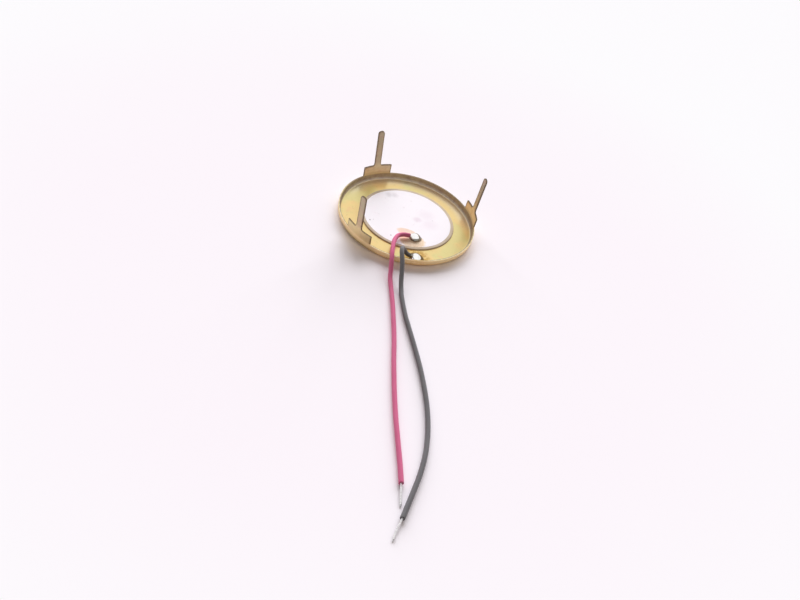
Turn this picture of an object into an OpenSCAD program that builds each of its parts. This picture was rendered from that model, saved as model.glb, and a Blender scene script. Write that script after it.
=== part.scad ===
// Piezo disc: a silvered ceramic wafer bonded into a shallow pressed brass dish,
// with three upright pins on the dish's rim and two soldered stranded leads.
// Origin at the centre of the dish's underside, +Z up along the pins.

/* [Brass dish] */
// Outside diameter of the dish
dish_d = 35; // [32:0.5:42]
// Height of the rim above the underside
rim_h = 1.9; // [1.5:0.1:3]
// Thickness of the brass sheet
sheet_t = 0.35; // [0.2:0.05:0.5]
// Outside radius of the bend between floor and wall
corner_r = 1.0; // [0.6:0.1:1.4]

/* [Tabs and pins] */
// Width of each tab across the rim
tab_w = 8; // [6:0.5:10]
// Height of a tab's shoulders above the rim
tab_h = 2.5; // [1.5:0.1:4]
// Width of each pin
pin_w = 1.8; // [1.5:0.1:2.6]
// Length of each pin above its tab's shoulders
pin_h = 9.8; // [6:0.1:14]
// Corner radius at the pin's tip
pin_tip_r = 0.7; // [0.3:0.05:0.7]
// Fillet radius where the pin leaves its tab
pin_root_r = 0.4; // [0.2:0.1:0.8]
// Direction of the middle tab, counted from +X
middle_angle = 130.5; // [100:0.5:160]
// Angle between the middle tab and each of the other two
tab_spacing = 105.5; // [95:0.5:115]
// Outward lean of the right-hand tab
lean_right = 2; // [0:0.5:10]
// Outward lean of the middle tab
lean_middle = 7; // [0:0.5:10]
// Outward lean of the front left tab
lean_left = 6; // [0:0.5:10]
// Sideways tilt of the middle pin, anticlockwise round the dish
sway_middle = 3; // [-4:0.5:4]

/* [Piezo ceramic] */
// Diameter of the ceramic wafer
ceramic_d = 24; // [18:0.5:29]
// Thickness of the ceramic wafer
ceramic_t = 0.22; // [0.1:0.01:0.4]
// Bare margin of ceramic around the front electrode
electrode_margin = 0.75; // [0.3:0.05:1.5]
// Thickness of each silver electrode
electrode_t = 0.02; // [0.01:0.01:0.05]
// Thickness of the adhesive under the wafer
bond_t = 0.04; // [0.02:0.01:0.1]
// Width of the adhesive squeezed out round the wafer
bond_edge = 0.15; // [0.05:0.05:0.4]
// Offset of the wafer from the dish's centre, towards +X
ceramic_x = 0.25; // [-0.6:0.05:0.6]
// Offset of the wafer from the dish's centre, towards +Y
ceramic_y = 0.45; // [-0.6:0.05:0.6]

/* [Solder joints] */
// Direction of the joint on the electrode, from the wafer's centre
ceramic_joint_angle = 295.5; // [250:0.5:340]
// Gap between that joint and the electrode's edge
ceramic_joint_inset = 1.95; // [0.2:0.05:4]
// Radius of the solder dome on the electrode
ceramic_dome_r = 1.5; // [1.2:0.1:2]
// Direction of the joint on the brass, from the dish's centre
brass_joint_angle = 291; // [250:0.5:340]
// Gap between that joint and the bend of the dish's wall
brass_joint_inset = 0.05; // [0.02:0.01:0.2]
// Bare brass left between that joint and the adhesive
brass_joint_clear = 1.45; // [0.5:0.05:1.8]
// Height of both solder domes
dome_h = 1.0; // [0.8:0.1:1.2]

/* [Leads] */
// Outside diameter of the insulation
lead_d = 1.1; // [0.9:0.05:1.1]
// Diameter of the twisted strands
conductor_d = 0.42; // [0.3:0.02:0.46]
// Length over which the strands make one full turn
strand_pitch = 3.2; // [2:0.1:6]

/* [Hidden] */

dish_r = dish_d / 2;
wall_r = dish_r - sheet_t;
flat_r = dish_r - corner_r;
shoulder_z = rim_h + tab_h;
tip_z = shoulder_z + pin_h;
round_fn = 160;

// The wafer's layers, from the dish's floor upwards
floor_z = sheet_t;
rear_z = floor_z + bond_t;
ceramic_z = rear_z + electrode_t;
front_z = ceramic_z + ceramic_t;
electrode_z = front_z + electrode_t;
electrode_r = ceramic_d / 2 - electrode_margin;

// How deep a tab's foot is let into the wall, and the three tabs as [direction, lean, sway]
tab_foot = 0.5;
tabs = [
  [middle_angle - tab_spacing, lean_right, 0],
  [middle_angle, lean_middle, sway_middle],
  [middle_angle + tab_spacing, lean_left, 0]
];

// Centres of the two solder joints, on the surfaces that they stand on
ceramic_joint = concat(
  [ceramic_x, ceramic_y] + polar(electrode_r - ceramic_joint_inset - ceramic_dome_r, ceramic_joint_angle),
  [electrode_z]);

// The joint on the brass fills what the two gaps leave of the bare ring round the wafer
bond_r = ceramic_d / 2 + bond_edge;
bond_reach = chord_reach([ceramic_x, ceramic_y], bond_r, brass_joint_angle);
brass_dome_r = (flat_r - brass_joint_inset - brass_joint_clear - bond_reach) / 2;
brass_joint = concat(polar(flat_r - brass_joint_inset - brass_dome_r, brass_joint_angle), [floor_z]);

// Where a conductor enters its dome: height above the dome's foot, as a share of the dome's own,
// and the solder's neck round the conductor, from the dome's middle to just short of the insulation
entry_share = 0.4;
neck_root_r = 0.55;
neck_end_r = lead_d / 2 - 0.05;
neck_gap = 0.1;

// Centre lines of the leads, from the face of the insulation at the joint to its far end
red_route = [
  [2.2, -7.2, 1.4], [0.8, -7.7, 1.5], [-0.3, -8.8, 1.7], [-0.8, -10.6, 2.0], [-0.9, -12.8, 2.3],
  [-0.7, -15.1, 2.5], [-0.4, -17.5, 2.6], [0, -19.6, 2.3], [0.5, -21.9, 1.5], [1, -24.3, 0.8],
  [1.8, -27, 0.56], [3.4, -32.6, 0.56], [4.9, -38.5, 0.56], [6.2, -44, 0.56], [7.3, -49.5, 0.56],
  [8.5, -55, 0.56], [9.9, -61, 0.56], [11.4, -66.8, 0.56], [13.1, -72.8, 0.56], [14.6, -78, 0.56],
  [15.9, -82.9, 0.56]
];
red_tip = [[15.9, -82.9, 0.56], [16.4, -85.5, 0.4], [16.9, -88.1, 0.24]];
black_route = [
  [3.7, -14.5, 1.2], [3, -14.6, 1.5], [2.2, -14.8, 2.4], [1.6, -15.9, 3.8], [1.7, -17.9, 4.3],
  [2.5, -20.4, 3.6], [3.1, -22.6, 2.6], [3.7, -25, 1.4], [4.3, -27.1, 0.72], [5, -29.6, 0.56],
  [6.9, -35, 0.56], [8.1, -37.8, 0.56], [10.7, -43.7, 0.56], [13.1, -49.4, 0.56],
  [15.1, -54.8, 0.56], [16.7, -59.8, 0.56], [17.9, -64.7, 0.56], [18.7, -69.5, 0.56],
  [19.1, -74.4, 0.56], [19, -79.3, 0.56], [18.5, -84.6, 0.56], [17.8, -91, 0.56]
];
black_tip = [[17.8, -91, 0.56], [17.4, -93.1, 0.45], [17.2, -94.5, 0.35], [17.1, -96.4, 0.24]];
lead_steps = 2;
lead_sides = 8;
tip_steps = 7;
strand_count = 6;
strand_points = 3;
strand_depth = 0.16;

function polar(r, angle) = r * [cos(angle), sin(angle)];
function unit(v) = v / norm(v);
function last(list) = list[len(list) - 1];
function reversed(list) = [for (i = [len(list) - 1 : -1 : 0]) list[i]];
function mirrored(points) = [for (p = reversed(points)) [-p.x, p.y]];
// How far the edge of an offset circle lies from the origin, in one direction
function chord_reach(centre, r, angle) =
  let (along = centre * polar(1, angle))
  along + sqrt(r * r - centre * centre + along * along);
function arc(centre, r, from, to, steps) =
  [for (i = [0 : steps]) centre + polar(r, from + (to - from) * i / steps)];

// Catmull-Rom spline through a list of points
function spline_point(a, b, c, d, t) =
  (2 * b + (c - a) * t + (2 * a - 5 * b + 4 * c - d) * t * t + (3 * b - a - 3 * c + d) * t * t * t) / 2;
function extended(p) = concat([2 * p[0] - p[1]], p, [2 * last(p) - p[len(p) - 2]]);
function smooth(p, steps) =
  let (q = extended(p))
  concat(
    [for (i = [1 : len(q) - 3], k = [0 : steps - 1])
      spline_point(q[i - 1], q[i], q[i + 1], q[i + 2], k / steps)],
    [last(p)]);

// Direction of a path at each of its points, with the direction of its first face given
function headings(path, first) =
  [for (i = [0 : len(path) - 1])
    i == 0 ? unit(first) : unit(path[min(i + 1, len(path) - 1)] - path[i - 1])];

// Points of a ring round a path's point: radii is one turn of distances from the path
function ring(centre, heading, radii, turn) =
  let (side = unit(cross(heading, [0, 0, 1])), up = cross(side, heading))
  [for (k = [0 : len(radii) - 1])
    let (angle = turn + 360 * k / len(radii))
    centre + radii[k] * (cos(angle) * side + sin(angle) * up)];

// Solid swept along a path, with a flat face at each end; turns is the section's turn at each point
module swept(path, first, radii, turns) {
  n = len(radii);
  directions = headings(path, first);
  points = [for (i = [0 : len(path) - 1]) each ring(path[i], directions[i], radii, turns[i])];
  sides = [for (i = [0 : len(path) - 2], k = [0 : n - 1])
    let (a = i * n + k, b = i * n + (k + 1) % n)
    each [[a, b, b + n], [a, b + n, a + n]]];
  ends = [[for (k = [n - 1 : -1 : 0]) k], [for (k = [0 : n - 1]) (len(path) - 1) * n + k]];
  polyhedron(points = points, faces = concat(sides, ends));
}

// Disc with a rounded lower edge
module rounded_disc(r, h, edge_r) {
  rotate_extrude($fn = round_fn) union() {
    translate([0, edge_r]) square([r, h - edge_r]);
    square([r - edge_r, h]);
    translate([r - edge_r, edge_r]) circle(r = edge_r, $fn = 48);
  }
}

// The sheet of the wall carried on upwards from the rim, leaning outwards
module leaning_wall(lean) {
  rise = tip_z - rim_h + 1;
  reach = rise * tan(lean);
  rotate_extrude($fn = round_fn) polygon([
    [wall_r, rim_h - tab_foot], [dish_r, rim_h - tab_foot], [dish_r, rim_h],
    [dish_r + reach, rim_h + rise], [wall_r + reach, rim_h + rise], [wall_r, rim_h]
  ]);
}

// Outline of a tab and its pin, x across it and y upwards from the underside
module tab_outline(sway) {
  half = concat(
    [[tab_w / 2, rim_h - tab_foot], [tab_w / 2, shoulder_z]],
    arc([pin_w / 2 + pin_root_r, shoulder_z + pin_root_r], pin_root_r, 270, 180, 4),
    arc([pin_w / 2 - pin_tip_r, tip_z - pin_tip_r], pin_tip_r, 0, 90, 6));
  polygon([for (p = concat(half, mirrored(half)))
    [p.x + max(0, p.y - shoulder_z) * tan(sway), p.y]]);
}

module tab(direction, lean, sway) {
  intersection() {
    leaning_wall(lean);
    rotate([90, 0, 90 + direction]) linear_extrude(height = dish_d) tab_outline(sway);
  }
}

module brass_dish() {
  color([0.86, 0.70, 0.42]) union() {
    difference() {
      rounded_disc(dish_r, rim_h, corner_r);
      translate([0, 0, sheet_t]) rounded_disc(wall_r, rim_h, corner_r - sheet_t);
    }
    for (t = tabs) tab(t[0], t[1], t[2]);
  }
}

// One flat layer of the wafer
module layer(d, z, t) {
  translate([ceramic_x, ceramic_y, z]) cylinder(d = d, h = t, $fn = round_fn);
}

module bond_layer() {
  color([0.35, 0.30, 0.20]) layer(2 * bond_r, floor_z, bond_t);
}

module rear_electrode() {
  color([0.90, 0.90, 0.91]) layer(ceramic_d, rear_z, electrode_t);
}

module piezo_ceramic() {
  color([0.76, 0.70, 0.60]) layer(ceramic_d, ceramic_z, ceramic_t);
}

module front_electrode() {
  color([0.96, 0.95, 0.96]) layer(2 * electrode_r, front_z, electrode_t);
}

// Middle of a joint, where the conductor ends, and the run from there to the insulation's face
function joint_middle(joint) = joint + [0, 0, entry_share * dome_h];
function joint_run(joint, route) = route[0] - joint_middle(joint);

// Round bar or cone along that run, stopping short of the insulation by gap
module along_run(joint, route, r_in, r_out, gap) {
  run = joint_run(joint, route);
  translate(joint_middle(joint))
    rotate([0, acos(run.z / norm(run)), atan2(run.y, run.x)])
      cylinder(r1 = r_in, r2 = r_out, h = norm(run) - gap, $fn = 48);
}

module solder_tail(joint, route) {
  along_run(joint, route, conductor_d / 2, conductor_d / 2, 0);
}

// A dome of solder, drawn out along the conductor that enters it
module solder_dome(joint, r, route) {
  ball_r = (r * r + dome_h * dome_h) / (2 * dome_h);
  difference() {
    intersection() {
      union() {
        translate(joint + [0, 0, dome_h - ball_r]) sphere(r = ball_r, $fn = 96);
        along_run(joint, route, neck_root_r, neck_end_r, neck_gap);
      }
      translate(joint) cylinder(r = r + 1, h = 2 * dome_h, $fn = 48);
    }
    solder_tail(joint, route);
  }
}

module ceramic_solder() {
  color([0.93, 0.93, 0.92]) solder_dome(ceramic_joint, ceramic_dome_r, red_route);
}

module brass_solder() {
  color([0.95, 0.94, 0.90]) solder_dome(brass_joint, brass_dome_r, black_route);
}

// Insulation: a round tube along the lead's centre line
module insulation(joint, route) {
  path = smooth(route, lead_steps);
  swept(path, joint_run(joint, route), [for (k = [1 : lead_sides]) lead_d / 2], [for (p = path) 0]);
}

// Conductor: its end in the solder, and the twisted strands bared at the far end
module conductor(joint, route, tip) {
  solder_tail(joint, route);
  path = smooth(tip, tip_steps);
  lobe = [for (k = [0 : strand_points - 1]) k == 0 ? 1 - strand_depth : 1];
  radii = [for (s = [1 : strand_count]) each lobe * conductor_d / 2];
  step = norm(last(tip) - tip[0]) / (len(path) - 1);
  swept(path, last(route) - smooth(route, lead_steps)[lead_steps * (len(route) - 1) - 1], radii,
    [for (i = [0 : len(path) - 1]) 360 * i * step / strand_pitch]);
}

module red_insulation() {
  color([0.80, 0.12, 0.22]) insulation(ceramic_joint, red_route);
}

module red_conductor() {
  color([0.80, 0.80, 0.80]) conductor(ceramic_joint, red_route, red_tip);
}

module black_insulation() {
  color([0.10, 0.09, 0.10]) insulation(brass_joint, black_route);
}

module black_conductor() {
  color([0.80, 0.80, 0.80]) conductor(brass_joint, black_route, black_tip);
}

brass_dish();
bond_layer();
rear_electrode();
piezo_ceramic();
front_electrode();
ceramic_solder();
brass_solder();
red_insulation();
red_conductor();
black_insulation();
black_conductor();
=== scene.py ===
"""Piezo disc: a silvered ceramic wafer in a shallow pressed brass dish with three upright pins,
and a red and a black stranded lead soldered to the silver and to the brass.

Shapes are worked out in millimetres and turned into metres when a piece is finished.
"""

from functools import cached_property, reduce
from math import asin, cos, hypot, pi, radians, sin, sqrt, tan

import bmesh
import bpy
from mathutils import Matrix, Vector, noise


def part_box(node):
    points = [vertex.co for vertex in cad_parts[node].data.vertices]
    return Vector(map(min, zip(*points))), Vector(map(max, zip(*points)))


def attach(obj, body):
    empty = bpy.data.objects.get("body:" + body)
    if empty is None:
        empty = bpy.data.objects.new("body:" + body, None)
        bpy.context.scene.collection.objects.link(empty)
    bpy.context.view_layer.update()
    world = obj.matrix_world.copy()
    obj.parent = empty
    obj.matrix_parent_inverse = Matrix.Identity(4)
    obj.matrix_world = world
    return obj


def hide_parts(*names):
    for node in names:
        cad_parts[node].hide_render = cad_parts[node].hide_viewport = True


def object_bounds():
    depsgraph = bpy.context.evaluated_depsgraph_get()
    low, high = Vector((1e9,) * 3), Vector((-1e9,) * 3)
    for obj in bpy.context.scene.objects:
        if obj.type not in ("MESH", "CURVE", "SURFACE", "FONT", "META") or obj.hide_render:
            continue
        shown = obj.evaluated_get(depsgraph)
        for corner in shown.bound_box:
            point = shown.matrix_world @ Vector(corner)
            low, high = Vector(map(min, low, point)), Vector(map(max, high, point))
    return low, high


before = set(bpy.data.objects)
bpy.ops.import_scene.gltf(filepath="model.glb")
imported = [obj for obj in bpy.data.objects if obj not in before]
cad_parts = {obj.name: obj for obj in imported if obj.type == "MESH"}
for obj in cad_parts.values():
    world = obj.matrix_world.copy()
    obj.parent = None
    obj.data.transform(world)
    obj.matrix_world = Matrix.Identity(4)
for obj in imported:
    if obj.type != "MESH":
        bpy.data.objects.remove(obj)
cad_low, cad_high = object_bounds()

MM = 0.001
FULL_TURN = 2.0 * pi
UPRIGHT = Vector((0.0, 0.0, 1.0))
# Stretches that leave height out of a distance, or draw a pattern out along X
FLAT = (1.0, 1.0, 0.0)
ROLLED = (0.05, 1.0, 1.0)
DRAWN = (0.12, 1.0, 1.0)

# The camera: degrees that it looks down and is rolled, the place it looks at and how far off it is
CAMERA_DOWN = 40.31
CAMERA_ROLL = 17.80
CAMERA_TARGET = (4.80, -30.05, 0.0)
CAMERA_DISTANCE = 251.3
SENSOR_WIDTH = 36.0
LENS = 48.96

# The window: degrees above the table, degrees round from +Y, and how wide and strong each light is
WINDOW_UP = 21.0
WINDOW_AROUND = (12.0, -8.0, -28.0)
WINDOW_SPREAD = 40.0
WINDOW_POWER = 2.14
WINDOW_COLOUR = (1.0, 1.041, 1.087)
ROOM_COLOUR = (0.270, 0.240, 0.208)
WHITE = (1.0, 1.0, 1.0)

# The dish and its tabs, as in the part's source
SHEET = 0.35
RIM = 1.9
BEND = 1.0
TAB_HALF = 4.0
SHOULDER = RIM + 2.5
PIN_HALF = 0.9
PIN_TIP_R = 0.7
PIN_ROOT_R = 0.4
# Each tab: direction round the dish, outward lean, sideways tilt of its pin, in degrees
TABS = [(25.0, 2.0, 0.0), (130.5, 7.0, 3.0), (236.0, 6.0, 0.0)]
# Height over which a tab bends over, and the width of the eased edges
TAB_BEND = 0.4
EASED = 0.045

# Where the dish's sheet has its lines of points
FLOOR_RADII = (0.0, 3.0, 6.0, 9.0, 11.5, 13.0, 14.5, 15.5, 16.1)
BEND_STEPS = 8
WALL_HEIGHTS = (1.3, 1.5, 1.65, 1.78, RIM)
WALL_STEP = radians(1.5)
TAB_HEIGHTS = (RIM, 2.02, 2.2, 2.5, 2.9, 3.4, 3.9, 4.2, SHOULDER)
SHOULDER_PLACES = (1.75, 2.25, 2.75, 3.25, 3.7, TAB_HALF)
ROOT_TURNS = (0, 30, 50, 70, 90)
TIP_TURNS = (30, 45, 60, 75, 90)
PIN_STEPS = 14
TIP_STEPS = 3

# Where the solder has its rings of points
DOME_SIDES = 64
DOME_STEPS = 14
NECK_SIDES = 32

# Height of the middle of a lead that lies on the table
LYING = 0.56


def on_table(*places):
    """Points of a lead that lies on the table."""
    return [(x, y, LYING) for x, y in places]


# The leads, from the face of the insulation at the joint to its far end, and their bared tips
RED_ROUTE = [
    (2.2, -7.2, 1.4), (0.8, -7.7, 1.5), (-0.3, -8.8, 1.7), (-0.8, -10.6, 2.0), (-0.9, -12.8, 2.3),
    (-0.7, -15.1, 2.5), (-0.4, -17.5, 2.6), (0, -19.6, 2.3), (0.5, -21.9, 1.5), (1, -24.3, 0.8),
    *on_table((1.8, -27), (3.4, -32.6), (4.9, -38.5), (6.2, -44), (7.3, -49.5), (8.5, -55),
              (9.9, -61), (11.4, -66.8), (13.1, -72.8), (14.6, -78), (15.9, -82.9)),
]
RED_TIP = [RED_ROUTE[-1], (16.4, -85.5, 0.4), (16.9, -88.1, 0.24)]
BLACK_ROUTE = [
    (3.7, -14.5, 1.2), (3, -14.6, 1.5), (2.2, -14.8, 2.4), (1.6, -15.9, 3.8), (1.7, -17.9, 4.3),
    (2.5, -20.4, 3.6), (3.1, -22.6, 2.6), (3.7, -25, 1.4), (4.3, -27.1, 0.72),
    *on_table((5, -29.6), (6.9, -35), (8.1, -37.8), (10.7, -43.7), (13.1, -49.4), (15.1, -54.8),
              (16.7, -59.8), (17.9, -64.7), (18.7, -69.5), (19.1, -74.4), (19, -79.3),
              (18.5, -84.6), (17.8, -91)),
]
BLACK_TIP = [BLACK_ROUTE[-1], (17.4, -93.1, 0.45), (17.2, -94.5, 0.35), (17.1, -96.4, 0.24)]
LEAD_R = 0.55
TUBE_SIDES = 28
STRANDS = 7
STRAND_R = 0.07
STRAND_PITCH = 3.2
# Part of a bared end's length at which its shortest wire stops
SHORTEST = 0.93
BORE_R = 0.235
BORE_DEPTH = 0.5
# Height at which a conductor ends in its joint, as a part of the joint's height
ENTRY_HEIGHT = 0.4


def having(thing, **settings):
    """Gives a thing back with several of its properties set."""
    for name, value in settings.items():
        setattr(thing, name, value)
    return thing


# ---- camera

def set_camera():
    """Looks along +Y and down, tilted to the right."""
    down = radians(CAMERA_DOWN)
    roll = radians(CAMERA_ROLL)
    target = Vector(CAMERA_TARGET) * MM
    back = Vector((0.0, -cos(down), sin(down)))
    level_up = Vector((0.0, sin(down), cos(down)))
    level_right = Vector((1.0, 0.0, 0.0))
    right = cos(roll) * level_right + sin(roll) * level_up
    up = cos(roll) * level_up - sin(roll) * level_right
    data = having(bpy.data.cameras.new("camera"), sensor_width=SENSOR_WIDTH, lens=LENS,
                  clip_start=0.01, clip_end=20.0)
    place = Matrix((right, up, back)).transposed().to_4x4()
    place.translation = target + back * CAMERA_DISTANCE * MM
    bpy.context.scene.camera = having(new_object("camera", data), matrix_world=place)


# ---- node trees

def worked_out(operation, swapped=False):
    """What an operator of a Value does: it adds a Math node."""
    def work(value, other):
        given = (other, value) if swapped else (value, other)
        return value.tree.number(operation, *given)
    return work


class Value:
    """A number that a node tree works out, used in ordinary arithmetic."""

    def __init__(self, tree, socket):
        self.tree = tree
        self.socket = socket

    __add__ = __radd__ = worked_out("ADD")
    __mul__ = __rmul__ = worked_out("MULTIPLY")
    __sub__ = worked_out("SUBTRACT")
    __rsub__ = worked_out("SUBTRACT", swapped=True)
    __truediv__ = worked_out("DIVIDE")
    at_most = worked_out("MINIMUM")
    at_least = worked_out("MAXIMUM")

    def between(self, low, high):
        """0 at low, 1 at high, and smooth from one to the other."""
        made = self.tree.node("ShaderNodeMapRange", {"interpolation_type": "SMOOTHSTEP"},
                              Value=self, From_Min=low, From_Max=high)
        return Value(self.tree, made.outputs[0])

    def below(self, low, high):
        """1 at low, 0 at high, and smooth from one to the other."""
        return 1.0 - self.between(low, high)


class Tree:
    """A node tree while it is being made."""

    def __init__(self, tree):
        self.tree = tree

    def node(self, kind, settings=None, numbered=None, **named):
        """One node: its settings come first, then the values or links of its sockets."""
        made = having(self.tree.nodes.new(kind), **(settings or {}))
        sockets = {name.replace("_", " "): value for name, value in named.items()}
        for name, value in {**(numbered or {}), **sockets}.items():
            self.feed(made.inputs[name], value)
        return made

    def feed(self, socket, value):
        if isinstance(value, Value):
            value = value.socket
        if isinstance(value, bpy.types.NodeSocket):
            self.tree.links.new(value, socket)
        elif socket.type == "RGBA":
            socket.default_value = (*value, 1.0)
        else:
            socket.default_value = value

    def number(self, operation, *given):
        """Arithmetic on numbers."""
        made = self.node("ShaderNodeMath", {"operation": operation}, dict(enumerate(given)))
        return Value(self, made.outputs[0])

    def vector(self, operation, *given, **named):
        """Arithmetic on vectors that gives a vector."""
        return self.on_vectors(operation, given, **named)["Vector"]

    def measure(self, operation, *given):
        """Arithmetic on vectors that gives a number."""
        return Value(self, self.on_vectors(operation, given)["Value"])

    def on_vectors(self, operation, given, **named):
        settings = {"operation": operation}
        return self.node("ShaderNodeVectorMath", settings, dict(enumerate(given)), **named).outputs


class Finish(Tree):
    """A material, or the world, while it is being made: a colour, with coats laid over it."""

    def __init__(self, owner, colour):
        owner.use_nodes = True
        super().__init__(owner.node_tree)
        self.tree.nodes.clear()
        self.owner = owner
        self.colour = colour

    @cached_property
    def place(self):
        """A point's place on the object, in metres."""
        return self.node("ShaderNodeTexCoord").outputs["Object"]

    @cached_property
    def facing(self):
        """The way the surface faces, by the object's own axes."""
        return self.node("ShaderNodeTexCoord").outputs["Normal"]

    def kept(self, name, output):
        """What the mesh keeps for each of its points: a Vector, or a number as Fac."""
        return self.node("ShaderNodeAttribute", {"attribute_name": name}).outputs[output]

    def axis(self, vector, name):
        return Value(self, self.node("ShaderNodeSeparateXYZ", Vector=vector).outputs[name])

    def away(self, centre):
        """The way from a centre given in millimetres, in metres."""
        return self.vector("SUBTRACT", self.place, tuple(c * MM for c in centre))

    def distance(self, centre, stretch=(1.0, 1.0, 1.0)):
        """How far a point is from a centre in millimetres, each axis stretched first."""
        scale = tuple(s / MM for s in stretch)
        return self.measure("LENGTH", self.vector("MULTIPLY", self.away(centre), scale))

    def along(self, centre, way):
        """How far a point is from a centre in one direction of the table, in millimetres."""
        return self.measure("DOT_PRODUCT", self.away(centre), (way[0] / MM, way[1] / MM, 0.0))

    def noise(self, size, detail=2.0, roughness=0.5, distortion=0.0, where=None):
        """Soft blotches whose size is given in millimetres."""
        made = self.node("ShaderNodeTexNoise", Vector=self.place if where is None else where,
                         Scale=1.0 / (size * MM), Detail=detail, Roughness=roughness,
                         Distortion=distortion)
        return Value(self, made.outputs[0])

    def specks(self, size, reach):
        """Small round spots, one to a cell of that size, as 1 inside and 0 outside."""
        cells = self.node("ShaderNodeTexVoronoi", {"feature": "F1"}, Vector=self.place,
                          Scale=1.0 / (size * MM), Randomness=1.0)
        return Value(self, cells.outputs["Distance"]).below(reach * 0.6, reach)

    def facing_out(self):
        """How squarely a surface faces away from the object's axis: 1 outwards, -1 inwards."""
        out = self.vector("NORMALIZE", self.vector("MULTIPLY", self.place, FLAT))
        return self.measure("DOT_PRODUCT", out, self.facing)

    def collar(self, centre, radius, width, way):
        """A thin arc on one side of a round foot."""
        reach = self.distance(centre)
        edge = radius + width
        arc = reach.between(radius - 0.1, radius) * reach.below(edge, edge + 0.2)
        return arc * self.along(centre, way).between(-0.3, radius * 0.4)

    def mix(self, share, one, other):
        """One colour where the share is 0, the other where it is 1."""
        settings = {"data_type": "RGBA", "clamp_factor": True}
        return self.node("ShaderNodeMix", settings, {0: share, 6: one, 7: other}).outputs[2]

    def coat(self, share, colour):
        """Lays a colour over what is there already."""
        self.colour = self.mix(share, self.colour, colour)

    def bump(self, height, depth, **under):
        """A relief whose depth is given in millimetres, on top of another one if that is given."""
        made = self.node("ShaderNodeBump", Height=height, Distance=depth * MM, Strength=1.0, **under)
        return made.outputs["Normal"]

    def surface(self, **values):
        """The shader itself, joined to the material's output."""
        shader = self.node("ShaderNodeBsdfPrincipled", Base_Color=self.colour, **values)
        self.node("ShaderNodeOutputMaterial", Surface=shader.outputs[0])
        return self.owner


def new_finish(name, colour):
    return Finish(bpy.data.materials.new(name), colour)


# ---- meshes

def box_mm(node):
    low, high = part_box(node)
    return low / MM, high / MM


def new_object(name, data):
    piece = bpy.data.objects.new(name, data)
    bpy.context.scene.collection.objects.link(piece)
    return piece


def mesh_of(name, points, faces):
    mesh = bpy.data.meshes.new(name)
    mesh.from_pydata([tuple(p) for p in points], [], faces)
    mesh.update()
    return mesh


def applied(piece):
    """The piece's mesh with its modifiers worked in, which are then taken off."""
    graph = bpy.context.evaluated_depsgraph_get()
    mesh = bpy.data.meshes.new_from_object(piece.evaluated_get(graph))
    piece.modifiers.clear()
    return mesh


def finished(piece, material, cad_node):
    """Turns a piece made in millimetres into metres, and joins it to the frame."""
    piece.data.transform(Matrix.Scale(MM, 4))
    for face in piece.data.polygons:
        face.use_smooth = True
    piece.data.materials.clear()
    piece.data.materials.append(material)
    piece.data.name = piece.name
    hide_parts(cad_node)
    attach(piece, "root")
    return piece


def ease_edges(piece, width):
    """Takes the sharpness off a piece's edges."""
    having(piece.modifiers.new("eased", "BEVEL"), width=width, segments=2, limit_method="ANGLE",
           angle_limit=radians(50.0), harden_normals=True)
    piece.data = applied(piece)


def circle(sides):
    """Cosine and sine of each corner of a circle."""
    turns = [FULL_TURN * k / sides for k in range(sides)]
    return [(cos(turn), sin(turn)) for turn in turns]


def sides_of(way):
    """Two directions square to a way: level, and upwards."""
    side = way.cross(UPRIGHT).normalized()
    return side, side.cross(way)


class Rings:
    """A skin over rings of points, where the first and the last are a single point."""

    def __init__(self, sides, first=0):
        self.sides = sides
        self.first = first
        self.points = []
        self.rings = []

    def add(self, points):
        start = self.first + len(self.points)
        self.points += points
        self.rings.append(range(start, start + len(points)))

    def faces(self, backwards=False):
        """Corners go round one way, or backwards from the same corner."""
        faces = []
        for one, other in zip(self.rings, self.rings[1:]):
            for k in range(self.sides):
                corners = [one[k % len(one)], other[k % len(other)],
                           other[(k + 1) % len(other)], one[(k + 1) % len(one)]]
                if backwards:
                    corners[1:] = corners[:0:-1]
                faces.append(list(dict.fromkeys(corners)))
        return faces


def lathe(profile, centre, columns=180, wander=0.0):
    """A closed turned solid from (radius, height) pairs that begin and end on the axis."""
    rings = Rings(columns)
    for radius, height in profile:
        middle = Vector((centre[0], centre[1], height))
        if radius == 0.0:
            rings.add([middle])
            continue
        ways = [Vector((cosine, sine, 0.0)) for cosine, sine in circle(columns)]
        rings.add([middle + out * (radius + wander * noise.noise(out * 6.0)) for out in ways])
    return rings.points, rings.faces(backwards=True)


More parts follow.
